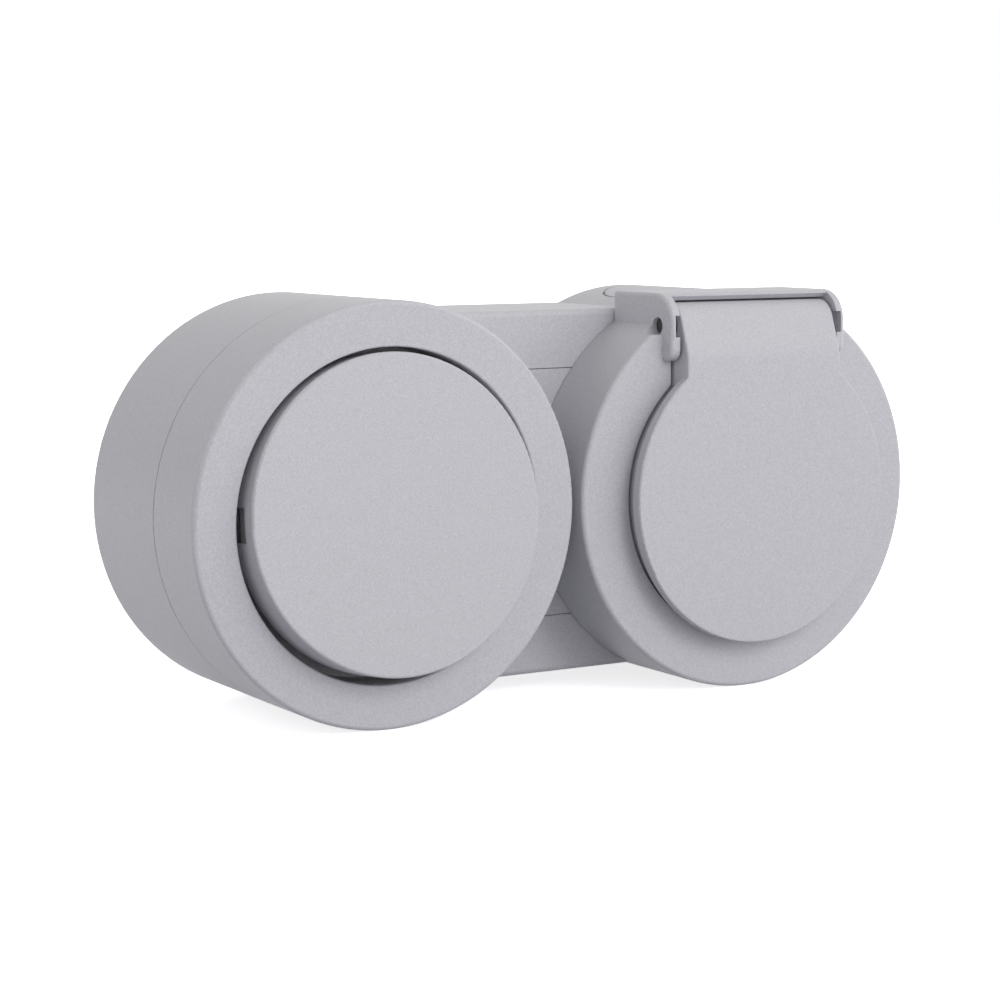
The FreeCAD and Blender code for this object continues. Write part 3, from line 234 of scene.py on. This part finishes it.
# Covers
# The two round covers are the same grey moulding, held by screws from the front. A near-black band
# is painted into the stepped-back rear edge, where each cover meets the box: painted shade in the gap.
# Painted shade: turns the base colour near-black over a thin band of depth, so the seam gap reads as a
# dark shadowed line.
def painted_seam_shade(material, middle, half):
    tree = material.node_tree
    shader = tree.nodes["Principled BSDF"]
    unshaded_tone = shader.inputs["Base Color"].links[0].from_socket
    place = tree.nodes.new("ShaderNodeTexCoord")
    depth = tree.nodes.new("ShaderNodeSeparateXYZ")
    tree.links.new(place.outputs["Object"], depth.inputs[0])
    in_seam = tree.nodes.new("ShaderNodeMath")
    in_seam.operation = "COMPARE"
    in_seam.inputs[1].default_value = middle
    in_seam.inputs[2].default_value = half
    tree.links.new(depth.outputs["Y"], in_seam.inputs[0])
    seam_shade = tree.nodes.new("ShaderNodeMix")
    seam_shade.data_type = "RGBA"
    # colour of the painted shade in the seam band
    seam_shade.inputs["B"].default_value = (0.060, 0.060, 0.064, 1.0)
    tree.links.new(in_seam.outputs[0], seam_shade.inputs["Factor"])
    tree.links.new(unshaded_tone, seam_shade.inputs["A"])
    tree.links.new(seam_shade.outputs["Result"], shader.inputs["Base Color"])


seam_middle = -0.0286
seam_half = 0.00011
cover_grey = moulded_grey("cover_grey")
# the covers get the painted seam shade
painted_seam_shade(cover_grey, seam_middle, seam_half)
for name in ("switch_cover", "socket_cover"):
    nodes[name].data.materials[0] = cover_grey


# Inner mouldings
# The switch housing, its lever and the socket base are off-white, heat-resistant plastic with a
# smooth, slightly glossy skin. They sit behind the covers and carry the metal parts.
def mottled(name, scale, detail, dark, light, rough, metallic=0.0, stretch=None):
    material = bpy.data.materials.new(name)
    material.use_nodes = True
    tree = material.node_tree
    shader = tree.nodes["Principled BSDF"]
    place = tree.nodes.new("ShaderNodeTexCoord")
    spots = tree.nodes.new("ShaderNodeTexNoise")
    spots.inputs["Scale"].default_value = scale
    spots.inputs["Detail"].default_value = detail
    if stretch:
        along = tree.nodes.new("ShaderNodeMapping")
        along.inputs["Scale"].default_value = stretch
        tree.links.new(place.outputs["Object"], along.inputs["Vector"])
        tree.links.new(along.outputs["Vector"], spots.inputs["Vector"])
    else:
        tree.links.new(place.outputs["Object"], spots.inputs["Vector"])
    tone = tree.nodes.new("ShaderNodeMix")
    tone.data_type = "RGBA"
    tone.inputs["A"].default_value = (*dark, 1.0)
    tone.inputs["B"].default_value = (*light, 1.0)
    tree.links.new(spots.outputs["Fac"], tone.inputs["Factor"])
    tree.links.new(tone.outputs["Result"], shader.inputs["Base Color"])
    if isinstance(rough, tuple):
        dulled = tree.nodes.new("ShaderNodeMapRange")
        dulled.inputs["To Min"].default_value, dulled.inputs["To Max"].default_value = rough
        tree.links.new(spots.outputs["Fac"], dulled.inputs["Value"])
        tree.links.new(dulled.outputs["Result"], shader.inputs["Roughness"])
    else:
        shader.inputs["Roughness"].default_value = rough
    shader.inputs["Metallic"].default_value = metallic
    return material


off_white = mottled("inner_moulding", 160.0, 3.0, (0.770, 0.760, 0.725), (0.820, 0.812, 0.780), 0.34)
for name in ("switch_body", "socket_base", "contact_lever"):
    nodes[name].data.materials[0] = off_white


# Mounting frames
# Two stamped steel plates, zinc-plated and clear-passivated, screwed to the posts of the box.
# The plating is a little cloudy and shows the rolling direction of the sheet.
zinc = mottled("zinc_plating", 1.0, 3.0, (0.540, 0.550, 0.560), (0.660, 0.670, 0.680), (0.26, 0.42),
               metallic=1.0, stretch=(60.0, 900.0, 900.0))
for name in ("switch_frame", "socket_frame", "switch_terminal_screws", "socket_terminal_screws"):
    nodes[name].data.materials[0] = zinc


# Screws
# Zinc-plated steel screws with a domed head, a cross recess and a rolled thread. They hold the
# mounting frames, the switch cover under its rocker, and the socket face.
def screw_mesh(head_radius, head_height, length):
    core_radius = 0.00095
    thread_radius = 0.00122
    pitch = 0.0008
    around = 32
    dome = 0.00042
    arm = 0.0016
    arm_half = 0.00036
    recess = 0.0010
    mesh = bmesh.new()
    outline = [(0.0, 0.0), (0.45 * head_radius, 0.16 * dome), (0.75 * head_radius, 0.5 * dome),
               (0.93 * head_radius, dome), (head_radius, 1.9 * dome), (head_radius, head_height),
               (core_radius, head_height), (core_radius, length - 1.6 * core_radius),
               (0.25 * core_radius, length), (0.0, length)]
    points = [mesh.verts.new((radius, along, 0.0)) for radius, along in outline]
    edges = [mesh.edges.new(pair) for pair in zip(points, points[1:])]
    bmesh.ops.spin(mesh, geom=points + edges, cent=(0, 0, 0), axis=(0, 1, 0), angle=math.tau,
                   steps=around, use_merge=True)
    bmesh.ops.remove_doubles(mesh, verts=mesh.verts, dist=1e-7)
    for axis in ((1, 0, 0), (0, 0, 1)):
        for offset in (-arm, -arm_half, arm_half, arm):
            crown = [face for face in mesh.faces if face.calc_center_median().y < 1.1 * dome]
            cut = crown + list({edge for face in crown for edge in face.edges})
            cut += list({vert for face in crown for vert in face.verts})
            bmesh.ops.bisect_plane(mesh, geom=cut, plane_co=Vector(axis) * offset, plane_no=axis)
    cross = []
    for face in mesh.faces:
        middle = face.calc_center_median()
        wide = max(abs(middle.x), abs(middle.z))
        narrow = min(abs(middle.x), abs(middle.z))
        if middle.y < 1.1 * dome and wide < arm and narrow < arm_half:
            cross.append(face)
    sunk = bmesh.ops.extrude_face_region(mesh, geom=cross)["geom"]
    bmesh.ops.delete(mesh, geom=cross, context="FACES")
    sunk_points = [item for item in sunk if isinstance(item, bmesh.types.BMVert)]
    bmesh.ops.translate(mesh, verts=sunk_points, vec=(0, recess, 0))
    bmesh.ops.scale(mesh, verts=sunk_points, vec=(0.8, 1.0, 0.8))
    start = head_height + pitch
    ridge = [mesh.verts.new((core_radius * 0.97, start - 0.42 * pitch, 0)),
             mesh.verts.new((thread_radius, start, 0)),
             mesh.verts.new((core_radius * 0.97, start + 0.42 * pitch, 0))]
    ridge_face = mesh.faces.new(ridge)
    turns = int((length - head_height - 2.6 * core_radius) / pitch) - 1
    per_turn = 20
    bmesh.ops.spin(mesh, geom=[ridge_face] + list(ridge_face.edges) + ridge, cent=(0, 0, 0),
                   axis=(0, 1, 0), dvec=(0, pitch / per_turn, 0), angle=math.tau * turns,
                   steps=per_turn * turns)
    bmesh.ops.recalc_face_normals(mesh, faces=mesh.faces)
    return mesh


def finished(name, mesh, material, body, crease_degrees):
    for face in mesh.faces:
        face.smooth = True
    for edge in mesh.edges:
        edge.smooth = edge.calc_face_angle(0.0) < math.radians(crease_degrees)
    data = bpy.data.meshes.new(name)
    mesh.to_mesh(data)
    mesh.free()
    data.materials.append(material)
    piece = bpy.data.objects.new(name, data)
    bpy.context.scene.collection.objects.link(piece)
    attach(piece, body)
    return piece


screw_low, screw_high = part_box("insert_screw")
head_radius = (screw_high.x - screw_low.x) / 2
head_height = 0.0018
turn_per_metre = 40
for node in ("switch_frame_screws", "switch_cover_screws", "socket_frame_screws", "insert_screw"):
    low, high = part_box(node)
    places = {(round(low.x + head_radius, 6), round(low.z + head_radius, 6)),
              (round(high.x - head_radius, 6), round(high.z - head_radius, 6))}
    group = bmesh.new()
    for x, z in sorted(places):
        single = screw_mesh(head_radius, head_height, high.y - low.y)
        turned = Matrix.Rotation(turn_per_metre * x + z, 3, "Y")
        bmesh.ops.rotate(single, verts=single.verts, cent=(0, 0, 0), matrix=turned)
        bmesh.ops.translate(single, verts=single.verts, vec=(x, low.y, z))
        data = bpy.data.meshes.new("single")
        single.to_mesh(data)
        single.free()
        group.from_mesh(data)
        bpy.data.meshes.remove(data)
    screws = finished(node + "_detailed", group, zinc, "housing", 35)
    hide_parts(node)


# Pins
# Ground steel pins with a black oxide finish: the hinge pin is pressed through both ears and sits
# below their outer sides, and the lever pin turns in the switch housing.
dark_steel = mottled("blackened_steel", 900.0, 3.0, (0.050, 0.050, 0.054), (0.105, 0.105, 0.112), 0.46,
                     metallic=0.6)
for name in ("hinge_pin", "lever_pin"):
    nodes[name].data.materials[0] = dark_steel


# Snap spring
# The leaf behind the switch lever gives the click: a bent strip of hardened steel, bright from
# rolling.
bright_steel = mottled("spring_steel", 1400.0, 2.0, (0.480, 0.490, 0.500), (0.560, 0.570, 0.580), 0.24,
                       metallic=1.0)
nodes["snap_spring"].data.materials[0] = bright_steel


# Lid spring
# A torsion spring of round steel wire, wound close round the hinge pin. Its leg lies in the lid's
# neck and turns with the lid; the far end is bent inwards into the pin, which stays still.
wire_radius = 0.00034
wire_slack = 0.00002
box_slack = 0.00001
coil_turns = 6
steps_per_turn = 28
bend_radius = 0.0006
bend_steps = 6
hook_length = 0.0009
leg_ring_turns = 0.7
spring_low, spring_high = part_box("lid_spring")
lid_joint = [joint for joint in frame["joints"] if joint["name"] == "lid_hinge"][0]
pin = Vector(lid_joint["pos_m"])
coil_radius = spring_high.z - pin.z - wire_radius - box_slack
leg_x = spring_low.x + wire_radius
coil_x = leg_x + 2 * wire_radius + wire_slack
coil_length = spring_high.x - wire_radius - coil_x


def wire_start(wire, place):
    bmesh.ops.create_circle(wire, cap_ends=True, radius=wire_radius, segments=12)
    bmesh.ops.translate(wire, verts=wire.verts, vec=place)
    return wire.faces[:]


def drawn_on(wire, end, vec):
    end = bmesh.ops.extrude_face_region(wire, geom=end)["geom"]
    points = [item for item in end if isinstance(item, bmesh.types.BMVert)]
    bmesh.ops.translate(wire, verts=points, vec=vec)
    return end


def wound_on(wire, end, centre, turns, steps, advance=0.0):
    return bmesh.ops.spin(wire, geom=end, cent=centre, axis=(-1, 0, 0), dvec=(advance / steps, 0, 0),
                          angle=math.tau * turns, steps=steps)["geom_last"]


leg = bmesh.new()
end = wire_start(leg, (leg_x, pin.y - coil_radius, spring_low.z))
end = drawn_on(leg, end, (0, 0, pin.z - spring_low.z))
wound_on(leg, end, pin, leg_ring_turns, round(leg_ring_turns * steps_per_turn))
bmesh.ops.recalc_face_normals(leg, faces=leg.faces)
finished("lid_spring_leg", leg, bright_steel, "lid_assembly", 50)

coil = bmesh.new()
end = wire_start(coil, (coil_x, pin.y - coil_radius, pin.z))
end = wound_on(coil, end, pin, coil_turns, coil_turns * steps_per_turn, coil_length)
bend_centre = Vector((spring_high.x, pin.y - coil_radius + bend_radius, pin.z))
end = wound_on(coil, end, bend_centre, 0.25, bend_steps)
drawn_on(coil, end, (0, hook_length, 0))
bmesh.ops.recalc_face_normals(coil, faces=coil.faces)
wound_spring = finished("lid_spring_wound", coil, bright_steel, "housing", 50)
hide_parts("lid_spring")


# Contacts
# Stamped and bent brass: the blade and strips of the switch, the two pin sleeves and the earth
# strap of the socket. Handling has dulled it a little and unevenly.
brass = mottled("contact_brass", 420.0, 4.0, (0.640, 0.470, 0.190), (0.780, 0.600, 0.290), (0.22, 0.40),
                metallic=1.0)
for name in ("moving_contact", "fixed_contact", "line_contact", "earth_clip", "live_contact",
             "neutral_contact"):
    nodes[name].data.materials[0] = brass


# Rubber rings
# Black moulded rubber: a square ring pressed into the groove of each round cover, which seals the
# cover against the box.
rubber = mottled("seal_rubber", 260.0, 3.0, (0.022, 0.022, 0.024), (0.045, 0.045, 0.048), 0.62)
for name in ("switch_cover_seal", "socket_cover_seal"):
    nodes[name].data.materials[0] = rubber


# Rocker diaphragm
# A black rubber disc behind the floor of the rocker's well, with a raised lip round the slot that
# the rocker's tongue passes through. The slot is as long as the tongue's whole swing.
disc_low, disc_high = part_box("rocker_membrane")
disc_centre = (disc_low + disc_high) / 2
disc_radius = (disc_high.x - disc_low.x) / 2
disc_thickness = 0.0008
disc_front = disc_high.y - disc_thickness
slot_half = (0.0043, 0.00235)
lip_half = (0.0051, 0.00315)
corner_turns = [math.atan2(height * half[1], side * half[0]) % math.tau
                for half in (slot_half, lip_half) for side in (-1, 1) for height in (-1, 1)]
disc_parts = 48
disc_turns = sorted({math.tau * part / disc_parts for part in range(disc_parts)} | set(corner_turns))
tiny = 1e-9


def disc_ring(mesh, half, y):
    ring = []
    for turn in disc_turns:
        across, upward = math.cos(turn), math.sin(turn)
        reach = disc_radius
        if half:
            reach = min(half[0] / max(abs(across), tiny), half[1] / max(abs(upward), tiny))
        ring.append(mesh.verts.new((disc_centre.x + reach * across, y, disc_centre.z + reach * upward)))
    return ring


disc = bmesh.new()
rings = [disc_ring(disc, None, disc_front), disc_ring(disc, None, disc_high.y),
         disc_ring(disc, slot_half, disc_high.y), disc_ring(disc, slot_half, disc_low.y),
         disc_ring(disc, lip_half, disc_low.y), disc_ring(disc, lip_half, disc_front)]
for near, far in zip(rings, rings[1:] + rings[:1]):
    for first in range(len(disc_turns)):
        second = (first + 1) % len(disc_turns)
        disc.faces.new((near[first], near[second], far[second], far[first]))
bmesh.ops.recalc_face_normals(disc, faces=disc.faces)
slotted_disc = finished("rocker_membrane_slotted", disc, rubber, "housing", 40)
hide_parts("rocker_membrane")


# Lid seal
# A black rubber ring pressed into the groove behind the lid. A hollow bead stands out of its flat
# base and closes on the socket face.
seal_low, seal_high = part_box("lid_seal")
seal_centre = (seal_low + seal_high) / 2
seal_slack = 0.00004
seal_width = 0.00352
base_height = 0.0016
fillet_height = 0.0004
bead_radius = 0.00135
bead_parts = 10
seal_outer = (seal_high.x - seal_low.x) / 2 - seal_slack
seal_inner = seal_outer - seal_width
seal_middle = (seal_outer + seal_inner) / 2
base_y = seal_low.y + base_height
fillet_y = base_y + fillet_height
bead_y = seal_high.y - bead_radius
section = [(seal_inner, seal_low.y), (seal_inner, base_y), (seal_middle - bead_radius, fillet_y)]
for part in range(bead_parts + 1):
    turn = math.pi * part / bead_parts
    section.append((seal_middle - bead_radius * math.cos(turn), bead_y + bead_radius * math.sin(turn)))
section += [(seal_middle + bead_radius, fillet_y), (seal_outer, base_y), (seal_outer, seal_low.y)]
seal = bmesh.new()
points = [seal.verts.new((seal_centre.x + radius, along, seal_centre.z)) for radius, along in section]
edges = [seal.edges.new(pair) for pair in zip(points, points[1:] + points[:1])]
bmesh.ops.spin(seal, geom=points + edges, cent=(seal_centre.x, 0, seal_centre.z), axis=(0, 1, 0),
               angle=math.tau, steps=120, use_merge=True)
bmesh.ops.remove_doubles(seal, verts=seal.verts, dist=1e-7)
bmesh.ops.recalc_face_normals(seal, faces=seal.faces)
beaded_seal = finished("lid_seal_beaded", seal, rubber, "lid_assembly", 40)
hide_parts("lid_seal")


bpy.context.scene.view_settings.view_transform = "Standard"
